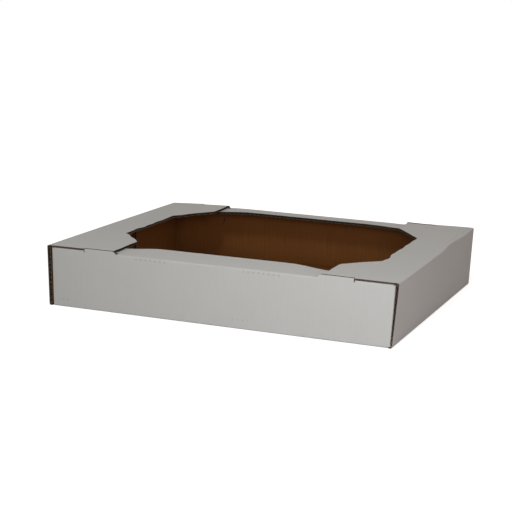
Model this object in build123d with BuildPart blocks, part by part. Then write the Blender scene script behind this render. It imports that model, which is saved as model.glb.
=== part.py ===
from build123d import *
import os

os.makedirs("parts", exist_ok=True)

# Cardboard tray box, folded by hand from one die-cut sheet of corrugated board, in millimetres.
# The origin is the middle of the underside, +X runs along the length and +Z is up.

# Outside sizes
length = 400.0            # over the two end walls
width = 310.0             # over the two long walls
height = 68.0             # underside to the top of the end flaps

# Board
board = 3.0               # thickness of the corrugated board
crease_radius = 1.6       # outside radius of a crease
corner_gap = 0.8          # from an end wall to the corner tab that stands inside it
fold_gap = 0.5            # from a folded edge to the panel that it stops at
seat_gap = 0.2            # under an end flap, where it lies on the walls and flanges

# Narrow flanges folded in along the tops of the long walls
flange_width = 30.0
flange_end_gap = 3.0      # from the inside of an end wall to a flange's end, at the crease
flange_end_taper = 12.0   # how much shorter a flange is at its free edge, at each end

# Corner tabs, the turned-in ends of the long walls
corner_tab_length = 118.0
corner_tab_chamfer = 8.0

# End flaps, each a C in plan: a bar along the end wall with an ear at each end
bar_width = 44.0          # from the end of the box to the middle of the mouth's edge
ear_reach = 80.0          # from the end of the box to an ear's inner end
ear_depth = 46.0          # from the side of the box to an ear's tip
mouth_corner = 90.0       # from the side of the box to where an ear's slant meets the bar
ear_tip_radius = 7.0
mouth_corner_radius = 3.0
flap_corner_radius = 2.5

# Locks: a tab on each ear goes down through a slot behind the long wall's standing lip
lock_start = 45.0         # from the end of the box to the lock's outer end
lock_tab_depth = 25.0     # down from the top of the flap
lock_tab_taper = 6.0      # how much the tab's bottom is narrower, at each end
lock_tab_radius = 4.0
lip_gap = 0.3             # from the standing lip to the tab behind it
slot_gap = 0.5            # round the rest of the tab, in its slot
lip_slant = 4.0           # how much longer the lip is at its foot, at its inner end

# Levels and lines that follow from those sizes
flap_underside = height - board
wall_top = flap_underside - seat_gap
flange_underside = wall_top - board
half_length = length / 2
half_width = width / 2
long_wall_end = half_length - board - corner_gap
flange_end = half_length - board - flange_end_gap
lock_face = half_width - board - lip_gap
slot_inner_face = lock_face - board - slot_gap
lock_length = ear_reach - lock_start


# The tray: base, walls, corner tabs and narrow flanges are one folded sheet.
with BuildPart() as tray:
    # Base
    with BuildSketch(Plane.XY):
        Rectangle(length, width)
    extrude(amount=board)

    # Long walls, shorter than the base so that the end walls pass outside their turned-in ends
    with BuildSketch(Plane.XY):
        for side in (-1, 1):
            with Locations((0, side * (half_width - board / 2))):
                Rectangle(2 * long_wall_end, board)
    extrude(amount=wall_top)

    # End walls, whose cut edges show beside the long walls
    with BuildSketch(Plane.XY):
        for end in (-1, 1):
            with Locations((end * (half_length - board / 2), 0)):
                Rectangle(board, width)
    extrude(amount=wall_top)

    # Corner tabs, clear of the base and of the flanges
    for end in (-1, 1):
        for side in (-1, 1):
            outer_y = side * half_width
            inner_y = side * (half_width - corner_tab_length)
            tab_foot = board + fold_gap
            tab_head = flange_underside - fold_gap
            with BuildSketch(Plane.YZ.offset(end * long_wall_end)):
                with BuildLine():
                    Polyline(
                        (outer_y, tab_foot),
                        (inner_y + side * corner_tab_chamfer, tab_foot),
                        (inner_y, tab_foot + corner_tab_chamfer),
                        (inner_y, tab_head - corner_tab_chamfer),
                        (inner_y + side * corner_tab_chamfer, tab_head),
                        (outer_y, tab_head),
                        close=True,
                    )
                make_face()
            extrude(amount=-end * board)

    # Narrow flanges with tapered ends
    with BuildSketch(Plane.XY.offset(flange_underside)):
        for side in (-1, 1):
            crease_y = side * half_width
            free_y = side * (half_width - flange_width)
            with BuildLine():
                Polyline(
                    (-flange_end, crease_y),
                    (flange_end, crease_y),
                    (flange_end - flange_end_taper, free_y),
                    (flange_end_taper - flange_end, free_y),
                    close=True,
                )
            make_face()
    extrude(amount=board)

    # Outside creases are rounded: round the base, down the corners and along the flanges
    base_creases = tray.edges().filter_by(Plane.XY).group_by(Axis.Z)[0]
    fillet(base_creases, crease_radius)
    corner_creases = tray.edges().filter_by(Axis.Z).filter_by(
        lambda edge: abs(abs(edge.center().X) - long_wall_end) < fold_gap / 2
        and abs(abs(edge.center().Y) - half_width) < fold_gap / 2
    )
    fillet(corner_creases, crease_radius)
    flange_creases = tray.edges().filter_by(Axis.X).filter_by(
        lambda edge: abs(edge.center().Z - wall_top) < fold_gap / 2
        and abs(abs(edge.center().Y) - half_width) < fold_gap / 2
    )
    fillet(flange_creases, crease_radius)

    # Standing lips: where the slot is cut, the long wall's board runs up flush with the flap
    for end in (-1, 1):
        lip_outer = end * (half_length - lock_start - slot_gap)
        lip_inner = end * (half_length - ear_reach - slot_gap)
        for side in (-1, 1):
            with BuildSketch(Plane.XZ.offset(-side * half_width)):
                with BuildLine():
                    Polyline(
                        (lip_outer, flange_underside),
                        (lip_outer, height),
                        (lip_inner, height),
                        (lip_inner - end * lip_slant, wall_top),
                        (lip_inner - end * lip_slant, flange_underside),
                        close=True,
                    )
                make_face()
            extrude(amount=side * board)

    # Slots for the locking tabs
    with BuildSketch(Plane.XY.offset(flange_underside)):
        for end in (-1, 1):
            for side in (-1, 1):
                slot_x = end * (half_length - lock_start - lock_length / 2)
                slot_y = side * (half_width - board + slot_inner_face) / 2
                with Locations((slot_x, slot_y)):
                    Rectangle(lock_length + 2 * slot_gap, half_width - board - slot_inner_face)
    extrude(amount=board, mode=Mode.SUBTRACT)

tray.part.label = "tray"
export_step(tray.part, "parts/tray.step")


# The two end flaps, alike and opposite, each hinged on its crease along the end wall's top.
for end, flap_name in ((-1, "left_end_flap"), (1, "right_end_flap")):
    bar_x = end * (half_length - bar_width)
    ear_x = end * (half_length - ear_reach)
    lock_x = end * (half_length - lock_start)

    with BuildPart() as end_flap:
        # Bar and two ears, notched along each side so that the lip stands in line with the edge
        with BuildSketch(Plane.XY.offset(flap_underside)) as outline:
            with BuildLine():
                Polyline(
                    (end * half_length, 0),
                    (end * half_length, -half_width),
                    (lock_x, -half_width),
                    (lock_x, -lock_face),
                    (ear_x, -lock_face),
                    (ear_x, ear_depth - half_width),
                    (bar_x, mouth_corner - half_width),
                    (bar_x, 0),
                    close=True,
                )
            make_face()
            mirror(about=Plane.XZ)
            corners = outline.vertices()
            fillet(corners.filter_by(
                lambda corner: abs(corner.X - ear_x) < fold_gap and abs(corner.Y) < lock_face - fold_gap
            ), ear_tip_radius)
            fillet(corners.filter_by(
                lambda corner: abs(corner.X - bar_x) < fold_gap and abs(corner.Y) > fold_gap
            ), mouth_corner_radius)
            fillet(corners.filter_by(
                lambda corner: abs(corner.X - end * half_length) < fold_gap and abs(corner.Y) > fold_gap
            ), flap_corner_radius)
        extrude(amount=board)

        # Locking tabs, narrower at the bottom so that they clear the slot as the flap swings
        for side in (-1, 1):
            with BuildSketch(Plane.XZ.offset(-side * lock_face)):
                with BuildLine():
                    Polyline(
                        (lock_x, height),
                        (ear_x, height),
                        (ear_x, flap_underside),
                        (ear_x + end * lock_tab_taper, height - lock_tab_depth),
                        (lock_x - end * lock_tab_taper, height - lock_tab_depth),
                        (lock_x, flap_underside),
                        close=True,
                    )
                make_face()
            extrude(amount=side * board)
        fillet(end_flap.edges().filter_by(Axis.Y).group_by(Axis.Z)[0], lock_tab_radius)

        # Rounded creases: along the end wall and along the two locking tabs
        top_creases = end_flap.edges().group_by(Axis.Z)[-1]
        end_crease = top_creases.filter_by(Axis.Y).filter_by(
            lambda edge: abs(edge.center().X - end * half_length) < fold_gap
        )
        tab_creases = top_creases.filter_by(Axis.X).filter_by(
            lambda edge: abs(abs(edge.center().Y) - lock_face) < lip_gap / 2
        )
        fillet(end_crease + tab_creases, crease_radius)

    end_flap.part.label = flap_name
    export_step(end_flap.part, f"parts/{flap_name}.step")
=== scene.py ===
import bpy
import bmesh
import math
from mathutils import Matrix, Vector, noise


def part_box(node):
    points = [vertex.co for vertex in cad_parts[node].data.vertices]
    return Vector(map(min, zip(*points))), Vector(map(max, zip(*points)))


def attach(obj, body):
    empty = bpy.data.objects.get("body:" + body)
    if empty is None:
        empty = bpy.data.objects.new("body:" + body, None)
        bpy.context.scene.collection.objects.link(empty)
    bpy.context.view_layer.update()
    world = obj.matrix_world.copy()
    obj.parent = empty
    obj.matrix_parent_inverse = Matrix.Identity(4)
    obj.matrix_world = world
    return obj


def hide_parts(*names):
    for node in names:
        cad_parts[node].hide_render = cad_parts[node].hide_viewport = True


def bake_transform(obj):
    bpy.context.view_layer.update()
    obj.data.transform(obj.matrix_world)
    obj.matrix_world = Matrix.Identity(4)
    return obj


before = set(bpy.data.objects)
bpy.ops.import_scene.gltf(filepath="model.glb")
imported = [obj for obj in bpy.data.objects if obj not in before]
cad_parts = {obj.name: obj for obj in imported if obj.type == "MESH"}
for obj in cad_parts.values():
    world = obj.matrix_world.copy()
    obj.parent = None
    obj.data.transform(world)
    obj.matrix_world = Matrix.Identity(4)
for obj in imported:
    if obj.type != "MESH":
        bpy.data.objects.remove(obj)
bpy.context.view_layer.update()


# ---------------------------------------------------------------------------------------------
# Camera. It looks at the right front corner from a little above the tray's rim, with a long
# lens, so that the front and back long walls stay close to parallel.
tray_low, tray_high = (Vector(corner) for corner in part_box("tray"))
length = tray_high.x - tray_low.x
width = tray_high.y - tray_low.y
height = tray_high.z - tray_low.z

camera_azimuth = math.radians(22.70)
camera_elevation = math.radians(12.32)
camera_roll = math.radians(0.956)
camera_distance = 4.308 * length
camera_aim = Vector((-0.2338 * length, 0.4608 * length, 0.0))

view_back = Vector((
    math.sin(camera_azimuth) * math.cos(camera_elevation),
    -math.cos(camera_azimuth) * math.cos(camera_elevation),
    math.sin(camera_elevation),
))
view_right = Vector((math.cos(camera_azimuth), math.sin(camera_azimuth), 0.0))
view_turn = Matrix.Rotation(camera_roll, 3, view_back)
view_right = view_turn @ view_right
view_up = view_back.cross(view_right)

camera_data = bpy.data.cameras.new("camera")
camera_data.sensor_width = 36.0
camera_data.lens = 91.9
camera = bpy.data.objects.new("camera", camera_data)
camera.matrix_world = Matrix((
    (view_right.x, view_up.x, view_back.x, 0.0),
    (view_right.y, view_up.y, view_back.y, 0.0),
    (view_right.z, view_up.z, view_back.z, 0.0),
    (0.0, 0.0, 0.0, 1.0),
))
camera.location = camera_aim + camera_distance * view_back
bpy.context.collection.objects.link(camera)
bpy.context.scene.camera = camera


# ---------------------------------------------------------------------------------------------
# Base, long walls, corner tabs and narrow flanges. One stretch of die-cut corrugated board,
# white outside and brown kraft inside, creased and folded. Its three papers, a liner, a wavy
# fluting and a liner, are glued at the crests. Only the end flaps' ears hold the flanges down.
board = 0.003
flute_pitch = 0.0057
liner_paper = 0.00035
fluting_paper = 0.00048
crease_radius = 0.0016
crease_squeeze = 0.5          # how much of its thickness the board keeps in a crease
crease_spread = 0.0036        # how far each side of a crease the board is squeezed
quarter = crease_radius * math.pi / 2
turn_steps = 6


def stations(marks, step):
    """The marks in order, with even stations between them no further apart than step."""
    places = [marks[0]]
    for mark in marks[1:]:
        start = places[-1]
        count = max(1, math.ceil((mark - start) / step - 1e-6))
        places += [start + (mark - start) * (i + 1) / count for i in range(count)]
    return places


def through_turn(start):
    """Marks through a quarter turn from this place, and through the squeezed board beside it."""
    before = [start - crease_spread, start - crease_spread / 2]
    turn = [start + quarter * i / turn_steps for i in range(turn_steps + 1)]
    after = [start + quarter + crease_spread / 2, start + quarter + crease_spread]
    return before + turn + after


def smooth(t):
    """0 to 1 with level ends."""
    t = min(1.0, max(0.0, t))
    return t * t * (3 - 2 * t)


def kept_thickness(from_crease, reach=crease_spread):
    """The share of its thickness that the board keeps at a distance from a crease."""
    return crease_squeeze + (1 - crease_squeeze) * smooth(from_crease / reach)


def walk(distance, runs):
    """Where a folded section has got to: along, up, the direction into the board, the squeeze.

    The section starts heading along and makes a quarter turn to the left after each run."""
    along, up, heading = 0.0, 0.0, 0.0
    for i, run in enumerate(runs):
        last = i == len(runs) - 1
        from_turn = min(
            distance if i > 0 else math.inf,
            math.inf if last else abs(run - distance),
        )
        if distance <= run or last:
            along += distance * math.cos(heading)
            up += distance * math.sin(heading)
            return along, up, -math.sin(heading), math.cos(heading), kept_thickness(from_turn)
        along += run * math.cos(heading)
        up += run * math.sin(heading)
        distance -= run
        centre_along = along - crease_radius * math.sin(heading)
        centre_up = up + crease_radius * math.cos(heading)
        if distance <= quarter:
            angle = heading + distance / crease_radius
            along = centre_along + crease_radius * math.sin(angle)
            up = centre_up - crease_radius * math.cos(angle)
            return along, up, -math.sin(angle), math.cos(angle), crease_squeeze
        heading += math.pi / 2
        along = centre_along + crease_radius * math.sin(heading)
        up = centre_up - crease_radius * math.cos(heading)
        distance -= quarter


def outer_liner_depth(p, squeeze):
    return 0.0, liner_paper


def fluting_depth(p, squeeze):
    room = board * squeeze / 2 - liner_paper - fluting_paper / 2
    middle = board * squeeze / 2 - room * math.cos(2 * math.pi * p / flute_pitch)
    return middle - fluting_paper / 2, middle + fluting_paper / 2


def inner_liner_depth(p, squeeze):
    return board * squeeze - liner_paper, board * squeeze


sharp_edge = math.radians(50)


def build_layer(name, panels, depth, step, face_material, back_material):
    """One paper of the board as one closed mesh, welded where panels share an edge.

    Each panel gives its marks across the flutes and along them, and a function that carries a
    flat place to the folded one, with the direction into the board, the squeeze and the place
    on the flat sheet."""
    front, back, sheet_place, vertex_of, cells = [], [], [], {}, []
    for across_marks, rows, place in panels:
        columns = stations(across_marks, step)
        grid = []
        for p in columns:
            line = []
            for q in rows:
                point, inward, squeeze, flat = place(p, q)
                near, far = depth(flat[0], squeeze)
                key = tuple(round(value * 1e6) for value in point)
                if key not in vertex_of:
                    vertex_of[key] = len(front)
                    front.append(point + inward * near)
                    back.append(point + inward * far)
                    sheet_place.append(flat)
                line.append(vertex_of[key])
            grid.append(line)
        for i in range(len(columns) - 1):
            for j in range(len(rows) - 1):
                corners = [grid[i][j], grid[i + 1][j], grid[i + 1][j + 1], grid[i][j + 1]]
                cell = [c for k, c in enumerate(corners) if c != corners[k - 1]]
                if len(set(cell)) > 2:
                    cells.append(cell)
    count = len(front)
    edge_use = {}
    for cell in cells:
        for k, a in enumerate(cell):
            edge = tuple(sorted((a, cell[(k + 1) % len(cell)])))
            edge_use[edge] = edge_use.get(edge, 0) + 1
    faces = [list(cell) for cell in cells] + [[c + count for c in reversed(cell)] for cell in cells]
    faces += [[b, a, a + count, b + count] for (a, b), uses in edge_use.items() if uses == 1]
    face_count = len(cells)
    mesh = bpy.data.meshes.new(name)
    mesh.from_pydata(front + back, [], faces)
    for material in (face_material, back_material, cut_paper):
        mesh.materials.append(material)
    for i, polygon in enumerate(mesh.polygons):
        polygon.material_index = min(2, i // face_count)
        polygon.use_smooth = True
    uv = mesh.uv_layers.new(name="flat_sheet")
    for loop in mesh.loops:
        uv.data[loop.index].uv = sheet_place[loop.vertex_index % count]
    solid = bmesh.new()
    solid.from_mesh(mesh)
    bmesh.ops.recalc_face_normals(solid, faces=solid.faces)
    solid.to_mesh(mesh)
    solid.free()
    mesh.set_sharp_from_angle(angle=sharp_edge)
    piece = bpy.data.objects.new(name, mesh)
    bpy.context.collection.objects.link(piece)
    return piece


# The papers' finishes. Each reads the flat sheet's own places, in metres: u across the flutes
# and v along them, so the flutes' faint ribs and the paper's streaks follow every fold.
def new_group(name, inputs, outputs):
    group = bpy.data.node_groups.new(name, "ShaderNodeTree")
    for label, kind, value in inputs:
        socket = group.interface.new_socket(label, in_out="INPUT", socket_type=kind)
        if value is not None:
            socket.default_value = value
    for label, kind in outputs:
        group.interface.new_socket(label, in_out="OUTPUT", socket_type=kind)
    return group, group.nodes.new("NodeGroupInput"), group.nodes.new("NodeGroupOutput")


def calculate(tree, operation, a, b=None, c=None, clamp=False):
    """A Math node on sockets or plain numbers."""
    node = tree.nodes.new("ShaderNodeMath")
    node.operation = operation
    node.use_clamp = clamp
    for i, value in enumerate((a, b, c)):
        if value is None:
            continue
        if isinstance(value, (int, float)):
            node.inputs[i].default_value = value
        else:
            tree.links.new(value, node.inputs[i])
    return node.outputs[0]


def cloud(tree, vector, scale, detail, stretch=(1.0, 1.0, 1.0), roughness=0.5):
    """Noise with its own stretch across and along the flutes."""
    mapping = tree.nodes.new("ShaderNodeMapping")
    mapping.inputs["Scale"].default_value = stretch
    tree.links.new(vector, mapping.inputs["Vector"])
    texture = tree.nodes.new("ShaderNodeTexNoise")
    texture.inputs["Scale"].default_value = scale
    texture.inputs["Detail"].default_value = detail
    texture.inputs["Roughness"].default_value = roughness
    tree.links.new(mapping.outputs["Vector"], texture.inputs["Vector"])
    return texture.outputs["Fac"]


def spread(tree, value, low, high):
    """The value's share of the way from low to high, kept within 0 and 1."""
    node = tree.nodes.new("ShaderNodeMapRange")
    node.inputs["From Min"].default_value = low
    node.inputs["From Max"].default_value = high
    tree.links.new(value, node.inputs["Value"])
    return node.outputs["Result"]


def tinted(tree, factor, base, tint):
    """The base colour mixed towards the tint, each a socket or a plain colour."""
    node = tree.nodes.new("ShaderNodeMix")
    node.data_type = "RGBA"
    tree.links.new(factor, node.inputs["Factor"])
    for label, colour in (("A", base), ("B", tint)):
        if isinstance(colour, tuple):
            node.inputs[label].default_value = (*colour, 1.0)
        else:
            tree.links.new(colour, node.inputs[label])
    return node.outputs["Result"]


# Ribs: where the liner is glued to the flutes it sinks a little between their crests.
ribs, ribs_in, ribs_out = new_group(
    "flute_ribs",
    [("Sheet", "NodeSocketVector", None), ("Pitch", "NodeSocketFloat", flute_pitch)],
    [("Height", "NodeSocketFloat"), ("Glue", "NodeSocketFloat")],
)
apart = ribs.nodes.new("ShaderNodeSeparateXYZ")
ribs.links.new(ribs_in.outputs["Sheet"], apart.inputs[0])
phase = calculate(ribs, "DIVIDE", apart.outputs["X"], ribs_in.outputs["Pitch"])
wave = calculate(ribs, "COSINE", calculate(ribs, "MULTIPLY", phase, 2 * math.pi))
wave = calculate(ribs, "MULTIPLY_ADD", wave, 0.5, 0.5)
patchy = cloud(ribs, ribs_in.outputs["Sheet"], 24.0, 3.0, (3.0, 0.7, 1.0))
strength = spread(ribs, patchy, 0.35, 0.7)
ribs.links.new(wave, ribs_out.inputs["Height"])
ribs.links.new(calculate(ribs, "MULTIPLY", wave, strength), ribs_out.inputs["Glue"])

# Fibres: fine clouds and streaks in the paper, and a few darker specks.
fibres, fibres_in, fibres_out = new_group(
    "paper_fibres",
    [("Sheet", "NodeSocketVector", None)],
    [("Cloud", "NodeSocketFloat"), ("Streak", "NodeSocketFloat"),
     ("Speck", "NodeSocketFloat"), ("Grain", "NodeSocketFloat")],
)
sheet_in = fibres_in.outputs["Sheet"]
fibres.links.new(cloud(fibres, sheet_in, 18.0, 4.0), fibres_out.inputs["Cloud"])
fibres.links.new(
    cloud(fibres, sheet_in, 60.0, 5.0, (6.0, 0.5, 1.0), 0.6), fibres_out.inputs["Streak"]
)
specks = cloud(fibres, sheet_in, 520.0, 2.0, (1.0, 0.6, 1.0))
fibres.links.new(spread(fibres, specks, 0.70, 0.76), fibres_out.inputs["Speck"])
fibres.links.new(cloud(fibres, sheet_in, 1400.0, 3.0, (1.0, 0.7, 1.0)), fibres_out.inputs["Grain"])


# Painted dent shade: a short row of darker dots where a few flutes were nipped, at a place on the sheet.
# The dents have no shape of their own; their shade is painted into the colour.
dots, dots_in, dots_out = new_group(
    "painted_dent_shade",
    [("Sheet", "NodeSocketVector", None), ("Row", "NodeSocketFloat", 0.0),
     ("Start", "NodeSocketFloat", 0.0), ("Finish", "NodeSocketFloat", 0.0)],
    [("Mask", "NodeSocketFloat")],
)
dot_place = dots.nodes.new("ShaderNodeSeparateXYZ")
dots.links.new(dots_in.outputs["Sheet"], dot_place.inputs[0])
dot_wave = dots.nodes.new("ShaderNodeGroup")
dot_wave.node_tree = ribs
dots.links.new(dots_in.outputs["Sheet"], dot_wave.inputs["Sheet"])
off_row = calculate(
    dots, "ABSOLUTE", calculate(dots, "SUBTRACT", dot_place.outputs["Y"], dots_in.outputs["Row"])
)
in_row = calculate(dots, "SUBTRACT", 1.0, spread(dots, off_row, 0.0004, 0.0013))
on_flute = spread(dots, dot_wave.outputs["Height"], 0.45, 0.95)
between = calculate(
    dots, "MULTIPLY",
    calculate(dots, "GREATER_THAN", dot_place.outputs["X"], dots_in.outputs["Start"]),
    calculate(dots, "LESS_THAN", dot_place.outputs["X"], dots_in.outputs["Finish"]),
)
dots.links.new(
    calculate(dots, "MULTIPLY", calculate(dots, "MULTIPLY", in_row, on_flute), between),
    dots_out.inputs["Mask"],
)


def paper(name, light, dark, speck, rib_depth, grain_depth, roughness, rib_shade=0.0, dent_shade_rows=()):
    """A sheet of paper on the board: its two tones, specks, ribs and the painted shade of its dents."""
    material = bpy.data.materials.new(name)
    material.use_nodes = True
    tree = material.node_tree
    shader = tree.nodes["Principled BSDF"]
    shader.inputs["Roughness"].default_value = roughness
    shader.inputs["Specular IOR Level"].default_value = 0.25
    sheet_uv = tree.nodes.new("ShaderNodeUVMap")
    sheet_uv.uv_map = "flat_sheet"
    rib = tree.nodes.new("ShaderNodeGroup")
    rib.node_tree = ribs
    fibre = tree.nodes.new("ShaderNodeGroup")
    fibre.node_tree = fibres
    for group in (rib, fibre):
        tree.links.new(sheet_uv.outputs["UV"], group.inputs["Sheet"])
    tone = calculate(
        tree, "MULTIPLY_ADD", fibre.outputs["Streak"], 0.55,
        calculate(tree, "MULTIPLY", fibre.outputs["Cloud"], 0.45),
    )
    tone = spread(tree, tone, 0.30, 0.70)
    glue_shade = calculate(tree, "MULTIPLY", rib.outputs["Glue"], rib_shade)
    tone = calculate(tree, "SUBTRACT", tone, glue_shade, clamp=True)
    toned = tinted(tree, tone, dark, light)
    toned = tinted(tree, calculate(tree, "MULTIPLY", fibre.outputs["Speck"], 0.5), toned, speck)
    # Each row mixes the colour towards the speck tone: painted shade of the nipped flutes' dents.
    for row, start, finish, depth in dent_shade_rows:
        dented = tree.nodes.new("ShaderNodeGroup")
        dented.node_tree = dots
        tree.links.new(sheet_uv.outputs["UV"], dented.inputs["Sheet"])
        dented.inputs["Row"].default_value = row
        dented.inputs["Start"].default_value = start
        dented.inputs["Finish"].default_value = finish
        dent = calculate(tree, "MULTIPLY", dented.outputs["Mask"], depth)
        toned = tinted(tree, dent, toned, speck)
    tree.links.new(toned, shader.inputs["Base Color"])
    height_sum = calculate(
        tree, "MULTIPLY_ADD", rib.outputs["Height"], rib_depth,
        calculate(tree, "MULTIPLY", fibre.outputs["Grain"], grain_depth),
    )
    bump = tree.nodes.new("ShaderNodeBump")
    bump.inputs["Distance"].default_value = 1.0
    bump.inputs["Strength"].default_value = 1.0
    tree.links.new(height_sum, bump.inputs["Height"])
    tree.links.new(bump.outputs["Normal"], shader.inputs["Normal"])
    return material


# The rows of painted dent shade on the front wall: each one's place along the flutes, where it starts
# and finishes across them, and how strongly its painted shade shows.
front_dent_shade = (
    (-0.2165, -0.093, -0.056, 0.7), (-0.2162, 0.034, 0.078, 0.7),
    (-0.1629, -0.188, -0.174, 0.6), (-0.1640, 0.020, 0.040, 0.35),
)
white_face = paper(
    "white_liner_face", (0.505, 0.50, 0.495), (0.485, 0.478, 0.470), (0.36, 0.33, 0.30),
    0.00002, 0.00001, 0.62, 0.15, dent_shade_rows=front_dent_shade,
)
cut_paper = paper(
    "liner_cut_and_back", (0.150, 0.118, 0.094), (0.09, 0.068, 0.053), (0.05, 0.037, 0.025),
    0.0, 0.00002, 0.9,
)
kraft_face = paper(
    "kraft_liner_face", (0.200, 0.074, 0.015), (0.160, 0.056, 0.011), (0.07, 0.03, 0.008),
    0.00003, 0.00002, 0.85, 0.25,
)
# The fluting and the inner liner's face toward it get a near-black kraft, darker than the paper's own
# colour: painted shade for the hollows between the flutes.
fluting_painted_shade = paper(
    "fluting_painted_shade", (0.045, 0.026, 0.016), (0.028, 0.016, 0.010), (0.02, 0.012, 0.008),
    0.0, 0.00002, 0.9,
)

# The board's three papers, from outside to inside: name, depths, column step, its two faces.
liner_step = 0.012
fluting_step = flute_pitch / 8
papers = (
    ("outer_liner", outer_liner_depth, liner_step, white_face, cut_paper),
    ("fluting", fluting_depth, fluting_step, fluting_painted_shade, fluting_painted_shade),
    ("inner_liner", inner_liner_depth, liner_step, fluting_painted_shade, kraft_face),
)


def build_board(name, panels, place_on_body):
    """The three papers of a stretch of board, each placed on its body."""
    for paper_name, depth, step, face, back in papers:
        piece = build_layer(f"{name}_{paper_name}", panels, depth, step, face, back)
        place_on_body(piece)


# The wrap's own sizes.
half_length = length / 2
half_width = width / 2
corner_gap = 0.0008
seat_gap = 0.0002
wall_end = half_length - board - corner_gap
wall_top = height - board - seat_gap
corner_tab_length = 0.118
corner_tab_chamfer = 0.008
flange_width = 0.030
flange_end = wall_end - crease_radius
flange_end_taper = 0.012
lock_start = 0.045
lip_gap = 0.0003
slot_gap = 0.0005
lip_slant = 0.004
ear_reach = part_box("left_end_flap")[1][0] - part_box("left_end_flap")[0][0]
lock_face = half_width - board - lip_gap

# The box isn't square. Its end walls lean out at the top and in at the foot, more at the front,
# and the long walls' corners follow. Each corner, named by its end and its side, has its shift
# outward at foot and top.
end_lean = {
    (-1, -1): (0.0, 0.0018), (-1, 1): (0.0, 0.0010),
    (1, -1): (-0.0027, 0.0026), (1, 1): (-0.0011, 0.0020),
}
wall_lean = {
    (-1, -1): (-0.0012, 0.0), (-1, 1): (0.0, 0.0),
    (1, -1): (-0.0004, 0.0026), (1, 1): (-0.0008, 0.0020),
}
back_corner_rise = {-1: -0.0007, 1: 0.0019}
lean_reach = 0.07             # how far from the end of the box the lean fades out


def lean(point, corners):
    """Moves a place near one end of the box out or in along x."""
    end = -1 if point.x < 0 else 1
    toward_back = min(1.0, max(0.0, 0.5 + point.y / (2 * half_width)))
    foot = corners[end, -1][0] * (1 - toward_back) + corners[end, 1][0] * toward_back
    top = corners[end, -1][1] * (1 - toward_back) + corners[end, 1][1] * toward_back
    up = min(1.0, max(0.0, point.z / height))
    near_end = smooth((abs(point.x) - half_length + lean_reach) / lean_reach)
    point.x += end * near_end * (foot * (1 - up) + top * up)
    point.z += back_corner_rise[end] * near_end * toward_back ** 2 * smooth(up)
    return point


# The rim doesn't lie flat. The back wall's crease stands a little high, the flanges spring up
# along their free edges, and the ears that hold them down are pushed up at their inner ends.
ear_spring = {(-1, -1): 0.0010, (-1, 1): 0.0006, (1, -1): -0.0006, (1, 1): 0.0003}
middle_spring = {-1: 0.0042, 1: 0.0014}
edge_rise = {(-1, -1): 0.0005, (-1, 1): 0.0005, (1, -1): 0.0034, (1, 1): 0.0019}
straight_foot = 0.02          # how far up a wall its foot stays in place
crushed_edge = 0.0012         # how far a wall's top fills a flap's crushed edge
edge_reach = 0.005
ear_end_fade = 0.045
knock_place = 0.058
knock_width = 0.052
knock_length = 0.050
knock_height = 0.030
knock_depth = 0.0024


def crushed(point):
    """Presses in the right end's crease, toward the back, where the empty box has been knocked."""
    across = max(0.0, 1 - abs(point.y - knock_place) / knock_width)
    along = max(0.0, 1 - (half_length + end_lean[1, 1][1] - point.x) / knock_length)
    down = max(0.0, 1 - (height - point.z) / knock_height)
    knock = smooth(across) * smooth(along) * smooth(down)
    point.x -= knock_depth * knock
    point.z += knock_depth / 6 * knock
    return point


def rim_rise(side, x):
    """How far the crease along a long wall's top stands above its place at this x."""
    toward_right = smooth(0.5 + x / (2 * half_length))
    rise = edge_rise[side, -1] * (1 - toward_right) + edge_rise[side, 1] * toward_right
    return rise * min(1.0, (half_length - abs(x)) / (1.25 * ear_reach))


def edge_lift(x, from_side):
    """How far a long wall's top stands up under a flap's cut edge, where the flap is crushed."""
    if half_length - abs(x) > lock_start + slot_gap / 2:
        return 0.0
    return crushed_edge * (1 - smooth(from_side / edge_reach))


def spring(x, y):
    """How far the rim's board stands up from flat at a place in plan."""
    side = -1 if y < 0 else 1
    end = -1 if x < 0 else 1
    from_end = half_length - abs(x)
    from_side = half_width - abs(y)
    at_ear = ear_spring[side, end]
    if from_end < ear_reach:
        rise = at_ear * (from_end / ear_reach) ** 1.5
    else:
        rise = at_ear + (middle_spring[side] - at_ear) * smooth((from_end - ear_reach) / ear_end_fade)
    return rim_rise(side, x) + rise * min(1.0, from_side / flange_width)


long_runs = (half_width - crease_radius, wall_top - 2 * crease_radius, flange_width - crease_radius)
base_turn = long_runs[0]
wall_foot = base_turn + quarter
wall_head = wall_foot + long_runs[1]
flange_start = wall_head + quarter
flange_edge = flange_start + long_runs[2]
slot_edge = flange_start + half_width - crease_radius - (lock_face - board - slot_gap)
tab_foot = wall_foot + crease_spread / 2
tab_head = wall_head - crease_spread / 2
corner_turn = wall_end - crease_radius
tab_edge = corner_turn + quarter + corner_tab_length - crease_radius


def long_side(side, trim=None):
    """Carries flat places round the creases on one long side of the box."""
    def place(p, q):
        if trim:
            p, q = trim(p, q)
        along, up, along_in, up_in, squeeze = walk(q, long_runs)
        point = Vector((p, side * along, up))
        if q > base_turn:
            raised = spring(p, point.y) + edge_lift(p, half_width - along)
            point.z += raised * smooth((up - straight_foot) / (wall_top - straight_foot))
        if wall_foot < q < wall_head:
            squeeze = min(squeeze, kept_thickness(abs(corner_turn - abs(p))))
        return lean(point, wall_lean), Vector((0.0, side * along_in, up_in)), squeeze, (p, side * q)
    return place


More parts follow.
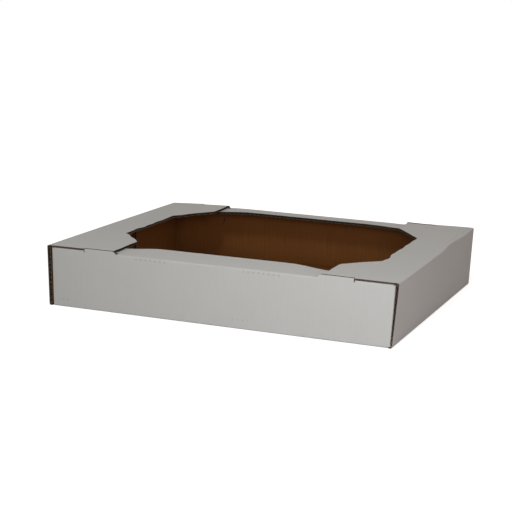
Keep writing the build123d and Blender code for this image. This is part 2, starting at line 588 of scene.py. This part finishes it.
def corner_tab(side, end):
    """Carries flat places round a corner crease on to the tab inside the end wall."""
    def place(p, q):
        if p > corner_turn + quarter + 1e-6:
            cut_back = max(0.0, p - tab_edge + corner_tab_chamfer)
            q = min(max(q, tab_foot + cut_back), tab_head - cut_back)
        turned = min(quarter, p - corner_turn)
        angle = turned / crease_radius
        run = max(0.0, p - corner_turn - quarter)
        x = corner_turn + crease_radius * math.sin(angle)
        y = half_width - crease_radius * (1 - math.cos(angle)) - run
        z = q - wall_foot + crease_radius
        raised = rim_rise(side, x) + edge_lift(x, half_width - y)
        z += raised * smooth((z - straight_foot) / (wall_top - straight_foot))
        point = lean(Vector((end * x, side * y, z)), wall_lean)
        inward = Vector((-end * math.sin(angle), -side * math.cos(angle), 0.0))
        return point, inward, kept_thickness(run), (end * p, side * q)
    return place


def taper_flange(p, q):
    """Keeps a place inside the flange's slanted ends."""
    limit = flange_end - flange_end_taper * (q - wall_head) / (flange_edge - wall_head)
    return min(max(p, -limit), limit), q


lip_outer = half_length - lock_start - slot_gap
lip_inner = half_length - ear_reach - slot_gap
slot_outer = half_length - lock_start + slot_gap
slant_power = {-1: 1, 1: 4}   # the front lips' inner ends are straight slants, the back ones hollow


def standing_lip(side, end):
    """Carries on straight up from the long wall, with the lip's inner end cut on a slant."""
    def place(p, q):
        z = wall_top - crease_radius + q - wall_head
        slanted = lip_inner - lip_slant * min(1.0, (height - z) / board) ** slant_power[side]
        p = max(p, slanted)
        squeeze = kept_thickness(q - wall_head, crease_radius)
        point = lean(Vector((end * p, side * half_width, z + rim_rise(side, p))), wall_lean)
        return point, Vector((0.0, -side, 0.0)), squeeze, (end * p, side * q)
    return place


wall_marks = [0.0, lip_inner - lip_slant, lip_inner, lip_outer, slot_outer,
              corner_turn - crease_spread, corner_turn, wall_end]
wall_marks = sorted(wall_marks + [-mark for mark in wall_marks[1:]])
wall_middle = [tab_foot + crease_spread / 2, tab_head - crease_spread / 2]
wall_rows = through_turn(base_turn)[2:] + stations(wall_middle, 0.015)[1:]
wall_rows += [tab_head, wall_head]
top_rows = [wall_head + quarter * i / turn_steps for i in range(turn_steps + 1)] + [slot_edge]
flange_rows = stations([slot_edge, flange_edge], 0.005)
base_rows = [0.0, base_turn / 2] + through_turn(base_turn)[:3]
base_rows = [-row for row in reversed(base_rows[1:])] + base_rows
tab_rows = [row for row in wall_rows if tab_foot - 1e-6 < row < tab_head + 1e-6]


def wall_columns(low, high):
    return [mark for mark in wall_marks if low - 1e-6 < mark < high + 1e-6]


def base(p, q):
    side = -1 if q < 0 else 1
    return long_side(side)(p, abs(q))


lip_foot = lip_inner - lip_slant
wrap_panels = [(wall_marks, base_rows, base)]
for side in (-1, 1):
    wrap_panels.append((wall_columns(-corner_turn, corner_turn), wall_rows, long_side(side)))
    for start, finish in ((-flange_end, -slot_outer), (-lip_foot, lip_foot), (slot_outer, flange_end)):
        wrap_panels.append((wall_columns(start, finish), top_rows, long_side(side, taper_flange)))
    wrap_panels.append((wall_columns(-flange_end, flange_end), flange_rows, long_side(side, taper_flange)))
    for end in (-1, 1):
        wrap_panels.append((
            wall_columns(lip_foot, lip_outer),
            stations([wall_head, wall_head + height - wall_top + crease_radius], 0.0012),
            standing_lip(side, end),
        ))
        wrap_panels.append((
            [corner_turn + quarter * i / turn_steps for i in range(turn_steps + 1)],
            [row for row in wall_rows if row > wall_foot - 1e-6] + [wall_head + crease_radius],
            corner_tab(side, end),
        ))
        wrap_panels.append((
            [corner_turn + quarter, corner_turn + quarter + crease_spread,
             tab_edge - corner_tab_chamfer, tab_edge],
            tab_rows, corner_tab(side, end),
        ))


def on_tray(piece):
    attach(piece, "tray")
    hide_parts("tray")


build_board("wrap", wrap_panels, on_tray)


# ---------------------------------------------------------------------------------------------
# End walls. They fold up from the base's ends outside the corner tabs, and their cut edges show
# the flutes at all four corners.
end_runs = (half_length - crease_radius, height - 2 * crease_radius, ear_reach - crease_radius)
end_foot = end_runs[0] + quarter
end_head = end_foot + end_runs[1]
flap_start = end_head + quarter
hinge_low = end_head - crease_spread
hinge_high = flap_start + crease_spread
end_edge = 0.0049             # how far in from an end wall's cut edge the board is squeezed
right_foot_squeeze = 0.30
left_edge_swell = 0.40


def end_side(end):
    """Carries flat places round the creases at one end of the box."""
    def place(p, q):
        along, up, along_in, up_in, squeeze = walk(p, end_runs)
        if end > 0:
            down = 1 - min(1.0, up / height)
            squeeze *= 1 - right_foot_squeeze * down * smooth(0.5 - q / width)
        else:
            squeeze *= 1 + left_edge_swell * smooth(1 - (q + half_width) / end_edge)
        point = crushed(lean(Vector((end * along, q, up)), end_lean))
        return point, Vector((end * along_in, 0.0, up_in)), squeeze, (end * p, q)
    return place


end_rows = stations([-half_width + end_edge, half_width - end_edge], 0.0125)
end_rows = [-half_width] + end_rows + [half_width]
end_wall_marks = [wall_end] + through_turn(end_runs[0])[2:] + [hinge_low]
for end, end_name in ((-1, "left"), (1, "right")):
    build_board(f"{end_name}_end_wall", [(end_wall_marks, end_rows, end_side(end))], on_tray)


# ---------------------------------------------------------------------------------------------
# End flaps. Each is a bar along the end wall with an ear at each end, and a locking tab turned
# down from each ear into its slot. The cut edges of the mouth are a little torn and uneven.
bar_width = 0.044
mouth_corner = 0.090
tab_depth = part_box("left_end_flap")[1][2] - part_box("left_end_flap")[0][2]
lock_tab_taper = 0.006
ear_tear = 0.0024
bar_tear = 0.0036
flap_edge_squeeze = 0.5       # how much of its thickness a flap loses at the side of the box
# Each ear's depth from the side of the box, its reach from the end, its tip's radius and where
# its slant meets the bar.
ears = {
    (-1, -1): (0.0555, 0.0810, 0.004, 0.0985), (-1, 1): (0.0525, 0.0780, 0.014, 0.0900),
    (1, -1): (0.0490, 0.0810, 0.007, 0.0900), (1, 1): (0.0440, 0.0785, 0.007, 0.0870),
}
tab_turn = lock_face - crease_radius
tab_edge_row = tab_turn + quarter + tab_depth - crease_radius


def ear_edge(side, end, from_end):
    """How far out in y an ear's mouth edge is, at a distance from the end of the box."""
    depth, reach, radius, corner = ears[side, end]
    slant = math.atan2(corner - depth, reach - bar_width)
    offset = from_end - (reach - radius)
    if offset > radius * math.sin(slant):
        centre = half_width - depth + radius * math.tan((math.pi / 2 - slant) / 2)
        return centre - math.sqrt(max(0.0, radius ** 2 - offset ** 2))
    edge = half_width - corner + (from_end - bar_width) * math.tan(slant)
    along_slant = (from_end - bar_width) / (reach - bar_width)
    tear = noise.noise(Vector((from_end * 90, side * 7.3, end * 3.1)))
    return edge + ear_tear * tear * smooth(along_slant * 5) * smooth((1 - along_slant) * 4)


def torn(end, y):
    """How far the bar's mouth edge runs out past its die line."""
    fade = smooth((half_width - mouth_corner - abs(y)) / 0.012)
    return fade * bar_tear * noise.noise(Vector((y * 56, end * 5.7, 0.4)))


def end_flap(end, on_ear=False):
    """Carries flat places on to the flap, with the mouth's edge as it was cut."""
    def place(p, q):
        side = -1 if q < 0 else 1
        reach = ears[side, end][1]
        from_end = p - flap_start + crease_radius
        if from_end > lock_start:
            inboard = smooth((tab_turn - abs(q)) / 0.02)
            along_ear = (from_end - lock_start) / (ear_reach - lock_start)
            p += (reach - ear_reach) * along_ear * inboard
            from_end = p - flap_start + crease_radius
        elif not on_ear:
            p += torn(end, q) * smooth((from_end - bar_width + 0.012) / 0.012)
        along, up, along_in, up_in, squeeze = walk(p, end_runs)
        y = abs(q)
        corner = half_width - mouth_corner
        inner = ear_edge(side, end, max(bar_width, min(from_end, reach)))
        if y < corner:
            y *= inner / corner
        elif y < tab_turn:
            y = inner + (y - corner) / (tab_turn - corner) * (tab_turn - inner)
        squeeze *= 1 - flap_edge_squeeze * (1 - smooth((half_width - y) / end_edge))
        point = Vector((end * along, side * y, up))
        fade = 1 - smooth((half_width - y - 0.06) / 0.05)
        point.z += spring(point.x, point.y) * fade
        point = crushed(lean(point, end_lean))
        return point, Vector((end * along_in, 0.0, up_in)), squeeze, (end * p, side * y)
    return place


def locking_tab(end, side):
    """Carries flat places from an ear's lock line down into the slot."""
    def place(p, q):
        down = max(0.0, q - tab_turn - quarter)
        angle = min(quarter, q - tab_turn) / crease_radius
        taper = lock_tab_taper * down / tab_depth
        low = flap_start + lock_start - crease_radius + taper
        high = flap_start + ear_reach - crease_radius - taper
        p = min(max(p, low), high)
        from_end = p - flap_start + crease_radius
        y = tab_turn + crease_radius * math.sin(angle)
        z = height - crease_radius * (1 - math.cos(angle)) - down
        point = Vector((end * (half_length - from_end), side * y, z))
        point.z += spring(point.x, side * y)
        point = lean(point, end_lean)
        inward = Vector((0.0, -side * math.sin(angle), -math.cos(angle)))
        return point, inward, kept_thickness(down), (end * p, side * q)
    return place


def on_flap(name):
    def place_piece(piece):
        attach(piece, name)
        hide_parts(name)
    return place_piece


ear_rows = stations([half_width - mouth_corner, tab_turn - crease_spread], 0.012) + [tab_turn]
bar_p = flap_start + bar_width - crease_radius
lock_p = flap_start + lock_start - crease_radius
ear_p = flap_start + ear_reach - crease_radius
tip_p = ear_p - 0.012
ear_marks = stations([lock_p, tip_p], 0.003) + stations([tip_p, ear_p], 0.0008)[1:]
lock_rows = [tab_turn + quarter * i / turn_steps for i in range(turn_steps + 1)]
lock_rows += stations([tab_turn + quarter + crease_spread / 2, tab_edge_row], 0.004)
middle_rows = stations([-ear_rows[0], ear_rows[0]], 0.005)[1:-1]
bar_rows = [-half_width] + [-row for row in reversed(ear_rows)] + middle_rows + ear_rows + [half_width]
hinge_marks = [hinge_low, end_head - crease_spread / 2]
hinge_marks += [end_head + quarter * i / turn_steps for i in range(turn_steps + 1)]
hinge_marks += [flap_start + crease_spread / 2, hinge_high]
for end, flap_name in ((-1, "left_end_flap"), (1, "right_end_flap")):
    flap_panels = [([hinge_high, bar_p - 0.012, bar_p], bar_rows, end_flap(end))]
    for side in (-1, 1):
        rows = [side * row for row in ear_rows]
        flap_panels.append(([bar_p, lock_p], rows + [side * half_width], end_flap(end, True)))
        flap_panels.append((ear_marks, rows, end_flap(end, True)))
        flap_panels.append((ear_marks, lock_rows, locking_tab(end, side)))
    build_board(flap_name, flap_panels, on_flap(flap_name))

    # The flap's crease, where the board turns between the end wall and the flap, built in place on no
    # body.
    def across_crease(piece):
        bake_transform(piece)
    build_board(f"{flap_name}_crease", [(hinge_marks, end_rows, end_side(end))], across_crease)


# ---------------------------------------------------------------------------------------------
# Stage and light: a plain pale floor, a dim warm room, and three soft lamps in front of the
# tray, which are a low cool one, a high one that reaches in through the mouth, and a warm one
# from the right for the end wall.
floor_mesh = bpy.data.meshes.new("floor")
floor_reach = 6.0
floor_mesh.from_pydata(
    [(-floor_reach, -floor_reach, 0.0), (floor_reach, -floor_reach, 0.0),
     (floor_reach, floor_reach, 0.0), (-floor_reach, floor_reach, 0.0)],
    [], [(0, 1, 2, 3)],
)
floor = bpy.data.objects.new("floor", floor_mesh)
floor.location.z = tray_low.z - 0.0003
bpy.context.collection.objects.link(floor)
floor_paint = bpy.data.materials.new("floor_paint")
floor_paint.use_nodes = True
floor_tree = floor_paint.node_tree
floor_shader = floor_tree.nodes["Principled BSDF"]
floor_shader.inputs["Base Color"].default_value = (0.70, 0.70, 0.70, 1.0)
floor_shader.inputs["Roughness"].default_value = 0.9
floor_shader.inputs["Specular IOR Level"].default_value = 0.1
floor_shader.inputs["Emission Color"].default_value = (1.0, 1.0, 1.0, 1.0)
# The camera sees the floor lit up towards white further out, and its shadow near the tray.
seen = floor_tree.nodes.new("ShaderNodeLightPath")
spot = floor_tree.nodes.new("ShaderNodeTexCoord")
away = floor_tree.nodes.new("ShaderNodeVectorMath")
away.operation = "LENGTH"
floor_tree.links.new(spot.outputs["Object"], away.inputs[0])
near_glow = calculate(floor_tree, "MULTIPLY_ADD", away.outputs["Value"], 0.5, 0.62, clamp=True)
floor_glow = calculate(floor_tree, "MULTIPLY", seen.outputs["Is Camera Ray"], near_glow)
floor_tree.links.new(floor_glow, floor_shader.inputs["Emission Strength"])
floor_mesh.materials.append(floor_paint)

world = bpy.data.worlds.new("studio")
bpy.context.scene.world = world
world.use_nodes = True
world_tree = world.node_tree
world_glow = world_tree.nodes["Background"]
world_path = world_tree.nodes.new("ShaderNodeLightPath")
world_seen = calculate(
    world_tree, "MAXIMUM", world_path.outputs["Is Camera Ray"], world_path.outputs["Is Glossy Ray"]
)
world_tint = tinted(world_tree, world_seen, (0.335, 0.295, 0.270), (1.0, 1.0, 1.0))
world_tree.links.new(world_tint, world_glow.inputs["Color"])


def soft_lamp(name, place, target, size, power, colour):
    lamp_data = bpy.data.lights.new(name, "AREA")
    lamp_data.shape = "DISK"
    lamp_data.size = size
    lamp_data.energy = power
    lamp_data.color = colour
    lamp = bpy.data.objects.new(name, lamp_data)
    lamp.location = place
    lamp.rotation_euler = (Vector(target) - Vector(place)).to_track_quat("-Z", "Y").to_euler()
    bpy.context.collection.objects.link(lamp)


soft_lamp("front_softbox", (0.24, -0.66, 0.28), (0.15, -0.10, 0.03), 0.30, 1.36, (0.88, 0.96, 1.0))
soft_lamp("top_softbox", (0.06, -0.78, 1.16), (0.0, 0.0, 0.05), 0.25, 3.8, (0.89, 1.0, 0.94))
soft_lamp("side_softbox", (0.80, -0.75, 0.30), (0.2, -0.1, 0.03), 0.5, 1.66, (1.0, 0.85, 0.83))

bpy.context.scene.view_settings.view_transform = "Standard"
